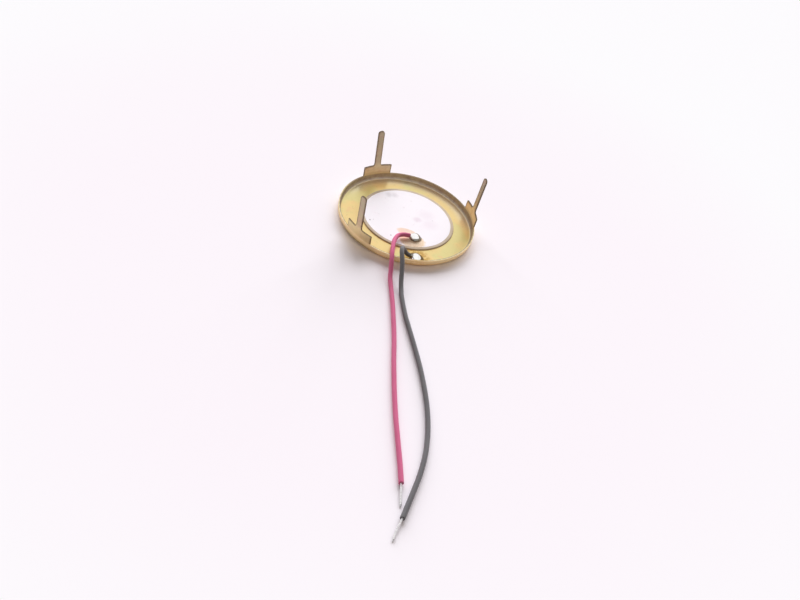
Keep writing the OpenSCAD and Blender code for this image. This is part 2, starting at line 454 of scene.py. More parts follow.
class Line:
    """A smooth line through a route's points, which can be asked for any distance along it."""

    HAIR = 1e-6
    REACH = 0.15
    TURN_IN = 1.2

    def __init__(self, route, steps=10, first=None):
        knots = [Vector(p) for p in route]
        knots = [2 * knots[0] - knots[1], *knots, 2 * knots[-1] - knots[-2]]
        self.points = []
        for i in range(1, len(knots) - 2):
            for k in range(steps):
                self.points.append(self.between(*knots[i - 1:i + 3], k / steps))
        self.points.append(knots[-2])
        self.first = first.normalized() if first is not None else None
        self.marks = [0.0]
        for a, b in zip(self.points, self.points[1:]):
            self.marks.append(self.marks[-1] + (b - a).length)
        self.length = self.marks[-1]

    @staticmethod
    def between(a, b, c, d, t):
        """Catmull-Rom spline."""
        return (2 * b + (c - a) * t + (2 * a - 5 * b + 4 * c - d) * t * t
                + (3 * b - a - 3 * c + d) * t * t * t) / 2

    def at(self, distance):
        """The point at that distance; before the start and past the end the line goes on straight."""
        if distance <= 0.0:
            return self.points[0] + self.heading(0.0) * distance
        if distance >= self.length:
            return self.points[-1] + self.heading(self.length) * (distance - self.length)
        return self.inside(distance)

    def inside(self, distance):
        """The point at a distance that lies between the line's ends."""
        k = next(i for i, mark in enumerate(self.marks) if mark > distance) - 1
        share = (distance - self.marks[k]) / (self.marks[k + 1] - self.marks[k])
        return self.points[k].lerp(self.points[k + 1], share)

    def heading(self, distance):
        """Direction of the line there, turned in from the first direction if one was given."""
        low = max(self.HAIR, distance - self.REACH)
        high = min(self.length - self.HAIR, distance + self.REACH)
        way = (self.inside(high) - self.inside(low)).normalized()
        if self.first is not None and distance < self.TURN_IN:
            way = self.first.lerp(way, max(0.0, distance) / self.TURN_IN).normalized()
        return way


# ---- leads

def joint_of(node):
    """Centre of a solder dome's foot, its radius and its height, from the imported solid."""
    low, high = box_mm(node)
    radius = (high.y - low.y) / 2
    centre = Vector((high.x - radius, (low.y + high.y) / 2, low.z))
    return centre, radius, high.z - low.z


def entry_of(node):
    """Middle of a joint, where its conductor ends."""
    centre, _, height = joint_of(node)
    return centre + Vector((0.0, 0.0, ENTRY_HEIGHT * height))


def insulation_profile(length):
    """(distance, radius) pairs of the tube: a recessed bore and a soft lip at each end."""
    end = [(BORE_DEPTH, 0.0), (BORE_DEPTH, BORE_R), (0.06, BORE_R), (0.015, BORE_R + 0.035),
           (0.0, BORE_R + 0.08), (0.0, LEAD_R - 0.08), (0.02, LEAD_R - 0.03), (0.07, LEAD_R)]
    steps = int(length / 0.4)
    body = [(0.3 + (length - 0.6) * k / steps, LEAD_R) for k in range(steps + 1)]
    return end + body + [(length - along, radius) for along, radius in reversed(end)]


def insulation(name, line, material, cad_node):
    """A round tube along the line. Its points keep how far along and round the lead they lie."""
    tube = Rings(TUBE_SIDES)
    lie = []
    for along, radius in insulation_profile(line.length):
        centre = line.at(along)
        if radius == 0.0:
            tube.add([centre])
            lie.append((along * MM, 0.0, 0.0))
            continue
        side, up = sides_of(line.heading(along))
        ring = []
        for cosine, sine in circle(TUBE_SIDES):
            flat = 1.0 + 0.02 * noise.noise(Vector((along * 0.35, cosine, sine)))
            ring.append(centre + (side * cosine + up * sine) * radius * min(flat, 1.0))
            lie.append((along * MM, cosine * radius * MM, sine * radius * MM))
        tube.add(ring)
    mesh = mesh_of(name, tube.points, tube.faces())
    kept = mesh.attributes.new("lie", "FLOAT_VECTOR", "POINT")
    kept.data.foreach_set("vector", [x for point in lie for x in point])
    return finished(new_object(name, mesh), material, cad_node)


def twisted(tree, wires, given):
    """The wires of a bundle, all but the first moved off the line and wound round it."""
    number = Value(tree, wires["Duplicate Index"])
    along = Value(tree, tree.node("GeometryNodeSplineParameter").outputs["Length"])
    share = number * FULL_TURN / (Value(tree, given["Strands"]) - 1.0)
    angle = share + along / given["Twist length"] * FULL_TURN
    outer = tree.number("GREATER_THAN", number, 0.5)
    reach = Value(tree, given["Strand radius"]) * 2.0 * outer
    normal = tree.node("GeometryNodeInputNormal").outputs[0]
    tangent = tree.node("GeometryNodeInputTangent").outputs[0]
    across = tree.vector("CROSS_PRODUCT", tangent, normal)
    one = tree.vector("SCALE", normal, Scale=tree.number("COSINE", angle) * reach)
    other = tree.vector("SCALE", across, Scale=tree.number("SINE", angle) * reach)
    away = tree.vector("ADD", one, other)
    moved = tree.node("GeometryNodeSetPosition", Geometry=wires["Geometry"], Offset=away)
    return moved.outputs[0]


def strand_tree(material):
    """Geometry Nodes: a bundle of thin wires, laid round a core wire and twisted along a line."""
    group = bpy.data.node_groups.new("twisted_strands", "GeometryNodeTree")
    kinds = {
        "Line": "Geometry", "Strands": "Int", "Strand radius": "Float", "Twist length": "Float",
        "Points": "Int", "Shortest": "Float", "Seed": "Int",
    }
    names = {}
    for name, kind in kinds.items():
        made = group.interface.new_socket(name, in_out="INPUT", socket_type="NodeSocket" + kind)
        names[name] = made.identifier
    group.interface.new_socket("Wires", in_out="OUTPUT", socket_type="NodeSocketGeometry")
    tree = Tree(group)
    given = tree.node("NodeGroupInput").outputs

    def step(kind, settings=None, **values):
        """One geometry node, and the geometry that it gives."""
        return tree.node("GeometryNode" + kind, settings, **values).outputs[0]

    line = step("ResampleCurve", Curve=given["Line"], Count=given["Points"])
    wires = tree.node("GeometryNodeDuplicateElements", {"domain": "SPLINE"},
                      Geometry=line, Amount=given["Strands"])
    laid = twisted(tree, wires.outputs, given)
    last = tree.node("FunctionNodeRandomValue", {"data_type": "FLOAT"},
                     Min=given["Shortest"], Max=1.0, Seed=given["Seed"])
    cut = step("TrimCurve", {"mode": "FACTOR"}, Curve=laid, End=last.outputs["Value"])
    section = step("CurvePrimitiveCircle", Resolution=10, Radius=given["Strand radius"])
    solid = step("CurveToMesh", Curve=cut, Profile_Curve=section, Fill_Caps=True)
    real = step("RealizeInstances", Geometry=solid)
    tinned = step("SetMaterial", Geometry=real, Material=material)
    tree.node("NodeGroupOutput", Wires=tinned)
    return group, names


def strands_along(bundle, line, start, end, shortest, seed):
    """The wires between two distances along a line, as a plain mesh."""
    group, names = bundle
    data = bpy.data.curves.new("strand_line", "CURVE")
    data.dimensions = "3D"
    count = max(2, int((end - start) / 0.1))
    spline = data.splines.new("POLY")
    spline.points.add(count)
    for k in range(count + 1):
        spline.points[k].co = (*line.at(start + (end - start) * k / count), 1.0)
    piece = new_object("strand_line", data)
    made = piece.modifiers.new("strands", "NODES")
    made.node_group = group
    values = {
        "Strands": STRANDS, "Strand radius": STRAND_R, "Twist length": STRAND_PITCH,
        "Points": count * 2, "Shortest": shortest, "Seed": seed,
    }
    for name, value in values.items():
        made[names[name]] = value
    mesh = applied(piece)
    bpy.data.objects.remove(piece)
    return mesh


def conductor(name, bundle, entry, line, tip, material, cad_node, seed):
    """The wires between the solder and the insulation, and those bared at the far end."""
    inner = Line([entry, line.points[0]], steps=4)
    outer = Line(tip)
    meshes = [
        strands_along(bundle, inner, 0.0, inner.length + BORE_DEPTH, 1.0, seed),
        strands_along(bundle, outer, -BORE_DEPTH, outer.length, SHORTEST, seed + 1),
    ]
    shape = bmesh.new()
    for mesh in meshes:
        shape.from_mesh(mesh)
        bpy.data.meshes.remove(mesh)
    joined = bpy.data.meshes.new(name)
    shape.to_mesh(joined)
    shape.free()
    return finished(new_object(name, joined), material, cad_node)


def declare_lead(line):
    count = int(line.length / 0.5)
    path = [line.at(line.length * k / count) * MM for k in range(count + 1)]


def pvc(name, colour, deep, roughness):
    """Soft insulation: drawn lengthways, faintly uneven, with a dull skin."""
    finish = new_finish(name, colour)
    lie = finish.kept("lie", "Vector")
    drawn = finish.noise(0.25, detail=3.0, where=finish.vector("MULTIPLY", lie, DRAWN))
    patches = finish.noise(6.0, where=lie)
    grime = finish.noise(0.5, detail=4.0, roughness=0.6, where=lie)
    finish.coat(patches.between(0.35, 0.7) * 0.6, deep)
    finish.coat(grime.between(0.6, 0.8) * 0.25, tuple(c * 0.6 for c in deep))
    relief = finish.bump(drawn * 0.6 + grime * 0.4, 0.03)
    return finish.surface(Roughness=roughness + 0.15 * drawn, Normal=relief, IOR=1.5)


def tinned_copper():
    """Thin drawn wires with a dull tin coat, worn to copper here and there, with painted shade on their
    flanks.
    """
    bright, dulled = (1.0, 0.98, 0.99), (0.82, 0.80, 0.80)
    copper, dark = (0.62, 0.38, 0.24), (0.15, 0.14, 0.14)
    finish = new_finish("tinned_copper", bright)
    dull = finish.noise(0.4, detail=3.0)
    finish.coat(dull.between(0.35, 0.65), dulled)
    finish.coat(finish.noise(0.22).between(0.62, 0.72) * 0.5, copper)
    # Painted shade: the flanks of the wires, where they lie against each other, are darkened in their
    # colour.
    sides = finish.axis(finish.facing, "Z").below(0.1, 0.8)
    finish.coat(sides * 0.75, dark)
    return finish.surface(Metallic=1.0, Roughness=0.22 + 0.2 * dull, Normal=finish.bump(dull, 0.01))


def make_leads():
    """Both leads, from their joints to their bare ends."""
    tin = tinned_copper()
    bundle = strand_tree(tin)
    red_skin = pvc("red_pvc", (0.610, 0.124, 0.250), (0.575, 0.108, 0.225), 0.38)
    black_skin = pvc("black_pvc", (0.136, 0.129, 0.136), (0.116, 0.109, 0.117), 0.42)
    leads = [
        ("red", "ceramic_solder", RED_ROUTE, RED_TIP, red_skin, 3),
        ("black", "brass_solder", BLACK_ROUTE, BLACK_TIP, black_skin, 8),
    ]
    for colour, joint, route, tip, skin, seed in leads:
        entry = entry_of(joint)
        line = Line(route, first=Vector(route[0]) - entry)
        wires = conductor(
            f"{colour}_strands", bundle, entry, line, tip, tin, f"{colour}_conductor", seed)
        tube = insulation(f"{colour}_lead", line, skin, f"{colour}_insulation")
        declare_lead(line)


# ---- dish

def polar(radius, angle, height):
    return Vector((radius * cos(angle), radius * sin(angle), height))


class Pressing:
    """A part pressed from sheet: each of its points lies on both faces of the sheet."""

    def __init__(self):
        self.outside = []
        self.inside = []
        self.from_edge = []
        self.index = {}
        self.faces = []

    def point(self, key, outside, inside, from_edge):
        """A point of the sheet, and how far it lies from the sheet's nearest cut edge."""
        if key not in self.index:
            self.index[key] = len(self.outside)
            self.outside.append(outside)
            self.inside.append(inside)
            self.from_edge.append(from_edge)
        return self.index[key]

    def face(self, *corners):
        """Corners run anticlockwise round the dish first, then outwards or upwards."""
        ring = list(dict.fromkeys(corners))
        if len(ring) > 2:
            self.faces.append(ring)

    def mesh(self, name):
        """Both faces of the sheet, and the cut edges between them."""
        count = len(self.outside)
        walls = []
        run = {(ring[k - 1], ring[k]) for ring in self.faces for k in range(len(ring))}
        for a, b in sorted(run):
            if (b, a) not in run:
                walls.append([b, a, a + count, b + count])
        inner = [[corner + count for corner in reversed(ring)] for ring in self.faces]
        mesh = mesh_of(name, self.outside + self.inside, self.faces + inner + walls)
        kept = mesh.attributes.new("from_edge", "FLOAT", "POINT")
        kept.data.foreach_set("value", self.from_edge * 2)
        return mesh


def lean_reach(z, lean):
    """How far a tab stands out at a height: it bends over softly about the rim."""
    above = z - RIM
    if above <= -TAB_BEND:
        return 0.0
    if above < TAB_BEND:
        above = (above + TAB_BEND) ** 2 / (4 * TAB_BEND)
    return above * tan(radians(lean))


def on_tab(tab, across, z, radius):
    """A point of a tab: its distance across it, its height, and the radius of its face."""
    direction, lean, sway = tab
    angle = radians(direction)
    across += max(0.0, z - SHOULDER) * tan(radians(sway))
    radius += lean_reach(z, lean)
    out = sqrt(radius * radius - across * across)
    return Vector((out * cos(angle) - across * sin(angle),
                   out * sin(angle) + across * cos(angle), z))


def tab_places():
    """Distances across a tab at which its sheet has a line of points."""
    root = [PIN_HALF + PIN_ROOT_R * (1 - cos(radians(a))) for a in ROOT_TURNS]
    tip = [PIN_HALF - PIN_TIP_R * (1 - cos(radians(a))) for a in TIP_TURNS]
    half = sorted({round(x, 4) for x in (*root, *tip, *SHOULDER_PLACES)})
    return [-x for x in reversed(half)] + [0.0] + half


def dish_columns(dish_r):
    """Every line of points round the dish: its angle on the outer and on the inner face,
    and where it goes up a tab, the tab's number and the distance across it."""
    columns = []
    for number, tab in enumerate(TABS):
        middle = radians(tab[0])
        for x in tab_places():
            on_outside = middle + asin(x / dish_r)
            on_inside = middle + asin(x / (dish_r - SHEET))
            columns.append((on_outside, on_inside, (number, x)))
        start = columns[-1][0]
        following = radians(TABS[(number + 1) % len(TABS)][0]) - asin(TAB_HALF / dish_r)
        span = (following - start) % FULL_TURN
        count = round(span / WALL_STEP)
        for k in range(1, count):
            angle = start + span * k / count
            columns.append((angle, angle, None))
    return columns


def dish_profile(dish_r):
    """(outer, inner) points of the sheet's section, each a radius and a height."""
    flat_r = dish_r - BEND
    inner_bend = BEND - SHEET
    rows = [((r, 0.0), (r, SHEET)) for r in (*FLOOR_RADII, flat_r)]
    for k in range(1, BEND_STEPS + 1):
        turn = radians(90.0 * k / BEND_STEPS)
        outer = (flat_r + BEND * sin(turn), BEND - BEND * cos(turn))
        inner = (flat_r + inner_bend * sin(turn), BEND - inner_bend * cos(turn))
        rows.append((outer, inner))
    return rows + [((dish_r, z), (dish_r - SHEET, z)) for z in WALL_HEIGHTS]


def press_bowl(pressing, columns, profile):
    """The round dish itself, up to its rim."""
    def corner(row, number):
        (outer_r, outer_z), (inner_r, inner_z) = profile[row]
        if outer_r == 0.0:
            return pressing.point("middle", Vector((0, 0, outer_z)), Vector((0, 0, inner_z)), RIM)
        out_angle, in_angle, tab_line = columns[number % len(columns)]
        within = 0.0
        outside = polar(outer_r, out_angle, outer_z)
        inside = polar(inner_r, in_angle, inner_z)
        if tab_line:
            tab, across = TABS[tab_line[0]], tab_line[1]
            within = TAB_HALF - abs(across)
            if outer_z > RIM - 0.5:
                outside = on_tab(tab, across, outer_z, outer_r)
                inside = on_tab(tab, across, inner_z, inner_r)
        key = ("bowl", row, number % len(columns))
        return pressing.point(key, outside, inside, RIM - outer_z + within)

    for row in range(len(profile) - 1):
        for number in range(len(columns)):
            pressing.face(corner(row, number), corner(row, number + 1),
                          corner(row + 1, number + 1), corner(row + 1, number))


def tab_edge(x, z, tip_z):
    """How far a place on a tab or its pin is from the nearest cut edge."""
    x = abs(x)
    if z > SHOULDER + PIN_ROOT_R:
        below = max(0.0, z - (tip_z - PIN_TIP_R))
        beside = max(0.0, x - (PIN_HALF - PIN_TIP_R))
        return min(PIN_HALF - x, PIN_TIP_R - hypot(below, beside)) if below else PIN_HALF - x
    if z > SHOULDER:
        return max(0.0, PIN_HALF + 0.1 - x)
    over = SHOULDER - z
    if x < PIN_HALF + PIN_ROOT_R:
        over = hypot(over, PIN_HALF + PIN_ROOT_R - x)
    return min(TAB_HALF - x, over)


def root_curve(x):
    """Top of the fillet between a shoulder and its pin."""
    inward = abs(x) - (PIN_HALF + PIN_ROOT_R)
    return SHOULDER + PIN_ROOT_R - sqrt(max(0.0, PIN_ROOT_R ** 2 - inward ** 2))


def press_tab(pressing, columns, last_row, number, dish_r):
    """One tab and its pin, which go on upwards from the rim."""
    tab = TABS[number]
    line_of = {c[2][1]: k for k, c in enumerate(columns) if c[2] and c[2][0] == number}
    tip_z = box_mm("brass_dish")[1].z
    tip_foot = tip_z - PIN_TIP_R

    def corner(x, z):
        if z == RIM:
            return pressing.index[("bowl", last_row, line_of[x])]
        key = ("tab", number, round(x, 4), round(z, 4))
        outside = on_tab(tab, x, z, dish_r)
        inside = on_tab(tab, x, z, dish_r - SHEET)
        return pressing.point(key, outside, inside, tab_edge(x, z, tip_z))

    def band(places, low, high):
        """A strip of sheet between two heights, each worked out from the place."""
        for a, b in zip(places, places[1:]):
            pressing.face(corner(a, low(a)), corner(b, low(b)), corner(b, high(b)), corner(a, high(a)))

    def bands(places, heights):
        """Strips between level lines."""
        for low, high in zip(heights, heights[1:]):
            band(places, lambda x, z=low: z, lambda x, z=high: z)

    def tip(x, share):
        beyond = max(0.0, abs(x) - (PIN_HALF - PIN_TIP_R))
        return tip_foot + share * sqrt(max(0.0, PIN_TIP_R ** 2 - beyond ** 2))

    places = tab_places()
    right = [x for x in places if PIN_HALF <= x <= PIN_HALF + PIN_ROOT_R]
    left = [-x for x in reversed(right)]
    pin = [x for x in places if abs(x) <= PIN_HALF]
    bands(places, TAB_HEIGHTS)
    for root in (left, right):
        band(root, lambda x: SHOULDER, root_curve)
    foot = SHOULDER + PIN_ROOT_R
    bands(pin, [SHOULDER] + [foot + (tip_foot - foot) * k / PIN_STEPS for k in range(PIN_STEPS + 1)])
    for k in range(TIP_STEPS):
        band(pin, lambda x, s=k / TIP_STEPS: tip(x, s), lambda x, s=(k + 1) / TIP_STEPS: tip(x, s))


class DishMap:
    """What the dish's finish goes by: where a point lies, which way it faces, and soft blotches."""

    def __init__(self, finish):
        self.height = height = finish.axis(finish.place, "Z") / MM
        self.back = finish.axis(finish.place, "Y") / MM
        self.out = finish.distance((0.0, 0.0, 0.0), FLAT)
        self.facing = facing = finish.facing_out()
        self.from_edge = Value(finish, finish.kept("from_edge", "Fac"))
        self.clouds = finish.noise(8.0, distortion=0.4)
        self.patches = finish.noise(3.0, detail=3.0, roughness=0.6)
        self.tarnish = finish.noise(1.2, detail=4.0, roughness=0.65)
        self.tabs = height.between(1.95, 2.6)
        self.outer = facing.between(0.3, 0.8) * (1.0 - self.tabs)
        self.inner = facing.below(-0.05, 0.1)
        self.wall = self.inner * self.out.between(16.55, 16.95) * height.below(1.80, 1.90)
        self.pins = height.between(4.2, 5.5)
        across = finish.number("ABSOLUTE", facing).below(0.35, 0.8)
        self.edge = across * height.between(1.95, 2.2)


def cloud_brass(finish, dish):
    """The sheet as it was rolled: greenish clouds, ruddy patches and worn spots."""
    greenish, ruddy, worn = (0.81, 0.70, 0.325), (0.89, 0.58, 0.31), (0.64, 0.53, 0.25)
    finish.coat(dish.clouds.between(0.40, 0.60), greenish)
    finish.coat(dish.patches.between(0.55, 0.70) * 0.5, ruddy)
    finish.coat(finish.noise(1.0, detail=3.0, roughness=0.6).between(0.58, 0.72) * 0.35, worn)


def shade_and_tint_bowl(finish, dish):
    """Painted light on the outer face, painted shade at its foot on the left, a paler floor towards the
    back, and painted dark reflection on the inner wall.
    """
    painted_light_brass, dull, pale = (0.86, 0.66, 0.42), (0.36, 0.28, 0.17), (0.88, 0.80, 0.74)
    brown, deep_brown = (0.33, 0.26, 0.19), (0.235, 0.165, 0.14)
    # Painted light: the outward faces are paler than the rest, for the brighter reflection they show.
    finish.coat(dish.outer * 0.7, painted_light_brass)
    # Painted shade: the lower outer wall at the front left is darkened, for the shadow beside its foot.
    foot = finish.distance((-10.6, -13.7, 0.5)).below(4.0, 8.0)
    finish.coat(foot * dish.outer * dish.height.below(0.5, 1.6) * 0.6, dull)
    # Paler towards the back of the floor, just inside the wall.
    film = dish.out.between(13.6, 16.2) * dish.back.between(1.0, 8.0) * dish.height.between(0.1, 0.3)
    finish.coat(film * (0.25 + 0.35 * dish.tarnish), pale)
    # Painted dark reflection: the inner wall is darkened to browns all round, varied by the tarnish
    # noise.
    finish.coat(dish.wall * 0.95, finish.mix(dish.tarnish.between(0.35, 0.7), brown, deep_brown))


def paint_rim_light_and_shade(finish, dish):
    """The top of the wall: a painted highlight at the front and painted shade at the back."""
    pale, dark = (0.96, 0.87, 0.70), (0.22, 0.16, 0.09)
    rim = dish.height.between(1.80, 1.88) * dish.height.below(1.95, 2.05)
    # Painted highlight along the front of the rim, and painted shade along its back.
    finish.coat(rim * dish.back.below(-1.0, 5.0) * 0.4, pale)
    finish.coat(rim * dish.back.between(2.0, 9.0) * 0.85, dark)


def brown_tabs(finish, dish):
    """Ruddy tabs and greyed pins, dark along the border and on the sheared edges, with painted shade at
    the tabs' inner foot and painted light on their outer faces.
    """
    ruddy, golden, dark = (0.66, 0.43, 0.29), (0.66, 0.49, 0.30), (0.34, 0.25, 0.17)
    grey, grey_brown = (0.40, 0.35, 0.25), (0.42, 0.31, 0.25)
    yellow, smoke = (0.86, 0.76, 0.43), (0.28, 0.24, 0.20)
    border_brown, sheared = (0.17, 0.12, 0.08), (0.15, 0.10, 0.06)
    middle_tab = (-11.45, 13.41, 3.2)
    tabs, pins, tarnish, height = dish.tabs, dish.pins, dish.tarnish, dish.height

    ruddiness = finish.mix(dish.clouds.between(0.40, 0.60), ruddy, golden)
    finish.coat(tabs * (0.55 + 0.4 * tarnish.between(0.4, 0.7)), ruddiness)
    greyness = finish.mix(tarnish.between(0.4, 0.65), grey, grey_brown)
    finish.coat(pins * (0.45 + 0.4 * height.between(5.0, 12.0)), greyness)
    # Painted shade: the inner foot of each tab, just above the rim, is darkened like the inner wall.
    base = dish.inner * height.between(1.80, 1.90) * height.below(2.1, 2.9)
    finish.coat(base * 0.65, dark)
    # Painted light: the tabs' outward faces are made yellower and paler.
    plain = dish.facing.between(0.2, 0.6) * tabs * (1.0 - pins)
    finish.coat(plain * 0.4, yellow)
    browner = finish.distance(middle_tab).below(3.5, 5.5)
    finish.coat(browner * tabs * 0.3, smoke)
    border = dish.from_edge.below(0.08, 0.42) * height.between(2.0, 2.4)
    border = border * (1.0 - 0.5 * plain)
    finish.coat(border * (0.45 + 0.4 * dish.patches), border_brown)
    finish.coat(dish.edge * 0.8, sheared)


def burn_flux(finish, dish):
    """Flux that browned the brass round its joint. Gives the stain's strength."""
    amber, painted_dark_arc = (0.60, 0.35, 0.09), (0.08, 0.05, 0.03)
    centre, radius, _ = joint_of("brass_solder")
    from_joint = finish.distance(centre) + 1.6 * dish.patches
    upper = dish.height.between(0.1, 0.3)
    stain = from_joint.below(3.4, 5.2) * (0.3 + 0.7 * upper) * (1.0 - 0.6 * dish.outer)
    finish.coat(stain * (0.15 + 0.7 * finish.noise(0.7).between(0.40, 0.54)), amber)
    # Painted dark reflection: a dark arc on the far side of the joint's foot, coloured like charred
    # flux.
    finish.coat(upper * finish.collar(centre, radius, 0.35, (0.26, 0.97)) * 0.9, painted_dark_arc)
    return stain


def brass():
    """Bare pressed brass: uneven tarnish, ruddy tabs, painted dark reflection on the inner wall,
    painted light and shade on the rim, tabs and outer face, dark sheared edges, burnt flux.
    """
    yellow = (0.91, 0.685, 0.315)
    finish = new_finish("brass", yellow)
    dish = DishMap(finish)
    cloud_brass(finish, dish)
    shade_and_tint_bowl(finish, dish)
    paint_rim_light_and_shade(finish, dish)
    brown_tabs(finish, dish)
    stain = burn_flux(finish, dish)
    roughness = 0.26 + 0.12 * dish.patches + 0.2 * dish.wall + 0.28 * dish.outer
    roughness = roughness + 0.08 * dish.tabs + 0.1 * stain + 0.2 * dish.edge
    grain = finish.noise(0.12, detail=3.0, where=finish.vector("MULTIPLY", finish.place, ROLLED))
    relief = finish.bump(dish.clouds, 0.12)
    relief = finish.bump(grain * 0.5 + dish.tarnish * 0.5, 0.008, Normal=relief)
    return finish.surface(Metallic=1.0, Roughness=roughness, Normal=relief)


def make_dish():
    dish_r = -box_mm("brass_dish")[0].x
    pressing = Pressing()
    columns = dish_columns(dish_r)
    profile = dish_profile(dish_r)
    press_bowl(pressing, columns, profile)
    for number in range(len(TABS)):
        press_tab(pressing, columns, len(profile) - 1, number, dish_r)
    dish = new_object("pressed_dish", pressing.mesh("pressed_dish"))
    ease_edges(dish, EASED)
    finished(dish, brass(), "brass_dish")


# ---- wafer

def bare_ceramic():
    """Fired ceramic: fine-grained, matt, a little darker where it was sawn."""
    pale, fawn, grain = (0.64, 0.52, 0.40), (0.57, 0.45, 0.34), (0.50, 0.39, 0.27)
    finish = new_finish("piezo_ceramic", pale)
    fine = finish.noise(0.08)
    finish.coat(finish.noise(2.5).between(0.3, 0.7), fawn)
    finish.coat(fine.between(0.55, 0.8) * 0.3, grain)
    return finish.surface(Roughness=0.55 + 0.2 * fine, Normal=finish.bump(fine, 0.008), IOR=1.6)


def blots(finish, uneven, spots):
    """Soft spots with uneven edges, each with its place, its reach in millimetres and its strength."""
    shares = []
    for x, y, reach, strength in spots:
        away = finish.distance((x, y, 0.0), FLAT) + reach * uneven
        shares.append(strength * away.below(reach * 0.6, reach * 1.6))
    return reduce(Value.at_least, shares)


def silver_marks(finish, uneven):
    """A darker streak near the back of the silver, and the dark marks that it has."""
    share = blots(finish, uneven, [(-6.2, 7.8, 1.4, 0.30), (-4.8, 8.2, 1.4, 0.24)])
    for x, y, size in ((-8.4, -5.0, 0.30), (-2.2, -8.4, 0.30), (6.5, 2.6, 0.16), (3.1, 5.7, 0.14)):
        reach = finish.distance((x, y, 0.0), FLAT) + 0.2 * uneven
        share = share.at_least(0.8 * reach.below(size * 0.6, size + 0.1))
    return share


def soil_silver(finish, broad, mottle, uneven):
    """Rosy patches, specks, smudges and finger marks on the print, which is thin at its edge."""
    rosy, speck, grime = (0.99, 0.905, 0.96), (0.45, 0.38, 0.42), (0.82, 0.76, 0.80)
    finger, bared, mark = (0.80, 0.64, 0.74), (0.42, 0.34, 0.33), (0.40, 0.34, 0.38)
    finish.coat(broad.between(0.5, 0.75) * 0.5, rosy)
    finish.coat(finish.specks(3.6, 0.05) * 0.5, speck)
    finish.coat(finish.noise(1.6, detail=4.0, roughness=0.65).between(0.62, 0.74) * 0.5, grime)
    fingers = [(2.8, 1.1, 1.6, 0.50), (4.5, 3.9, 3.2, 0.25), (6.1, 0.6, 3.2, 0.25)]
    finish.coat(blots(finish, (broad + mottle) * 0.5, fingers), finger)
    low, high = box_mm("front_electrode")
    from_middle = finish.distance((low + high) / 2, FLAT) + 0.1 * uneven
    finish.coat(from_middle.between(high.x - 0.28, high.x - 0.12) * 0.6, bared)
    finish.coat(silver_marks(finish, uneven), mark)


def flux_spread(finish, middle, stretch, uneven, fade):
    """Where flux ran to: an uneven oval beside the joint, fading between two reaches."""
    return (finish.distance(middle, stretch) + 0.5 * uneven).below(*fade)


def fired_silver():
    """Screen-printed silver, matt, with a film of flux behind the lead and a pool by the joint."""
    white, film, clear = (0.99, 0.935, 0.98), (0.90, 0.63, 0.46), (1.0, 0.77, 0.52)
    amber, painted_dark_arc = (0.88, 0.61, 0.38), (0.10, 0.07, 0.04)
    finish = new_finish("fired_silver", white)
    fine = finish.noise(0.12, detail=3.0)
    broad = finish.noise(3.5, detail=3.0, roughness=0.6)
    mottle = finish.noise(0.5, detail=3.0, roughness=0.6)
    uneven = finish.noise(1.6, detail=3.0, roughness=0.6)
    soil_silver(finish, broad, mottle, uneven)
    centre, radius, _ = joint_of("ceramic_solder")
    x, y, z = centre
    halo = flux_spread(finish, (x - 2.3, y + 1.3, z), (0.42, 0.72, 0.0), uneven, (1.15, 1.45))
    pool = flux_spread(finish, (x - 0.4, y - 1.4, z), (0.31, 0.37, 0.0), uneven, (1.12, 1.36))
    finish.coat(halo * (0.6 + 0.4 * mottle), film)
    finish.coat(pool * 0.85, finish.mix(mottle.between(0.35, 0.65), clear, amber))
    # Painted dark reflection: a dark arc on the far side of the joint's foot, coloured like charred
    # flux.
    finish.coat(finish.collar(centre, radius, 0.15, (0.42, 0.91)) * 0.9, painted_dark_arc)
    flux = halo.at_least(pool)
    relief = finish.bump(fine * 0.7 + broad * 0.3, 0.01)
    return finish.surface(
        Metallic=0.45 - 0.45 * flux, Roughness=0.5 + 0.15 * fine - 0.2 * flux, Normal=relief)


def cured_adhesive():
    """A thin amber fillet of glue."""
    amber, brown = (0.78, 0.55, 0.30), (0.58, 0.40, 0.21)
    finish = new_finish("adhesive", amber)
    lumps = finish.noise(0.4)
    finish.coat(lumps.between(0.3, 0.7), brown)
    return finish.surface(Roughness=0.35 + 0.2 * lumps, Normal=finish.bump(lumps, 0.02))


def thin_disc(name, node, material, foot, lip, wander):
    """A disc whose edge is broken at its foot and its lip, each as (how far in, how far up or down)."""
    low, high = box_mm(node)
    r = (high.x - low.x) / 2
    profile = [(0.0, low.z)] + [(r - inset, low.z + rise) for inset, rise in foot]
    profile += [(r - inset, high.z - drop) for inset, drop in lip]
    profile += [(r - 0.5, high.z), (0.0, high.z)]
    points, faces = lathe(profile, (low + high) / 2, wander=wander)
    finished(new_object(name, mesh_of(name, points, faces)), material, node)


def make_wafer():
    """The ceramic and the silver on it, and the finish of the two layers under it."""
    silver = fired_silver()
    thin_disc("ceramic_wafer", "piezo_ceramic", bare_ceramic(),
              [(0.02, 0.0), (0.0, 0.02)], [(0.0, 0.03), (0.01, 0.01), (0.03, 0.0)], -0.008)
    thin_disc("silver_print", "front_electrode", silver,
              [(0.01, 0.0), (0.0, 0.006)], [(0.01, 0.004), (0.05, 0.0)], -0.06)
    for node, material in (("rear_electrode", silver), ("bond_layer", cured_adhesive())):
        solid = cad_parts[node]
        solid.data.materials.clear()
        solid.data.materials.append(material)


# ---- solder

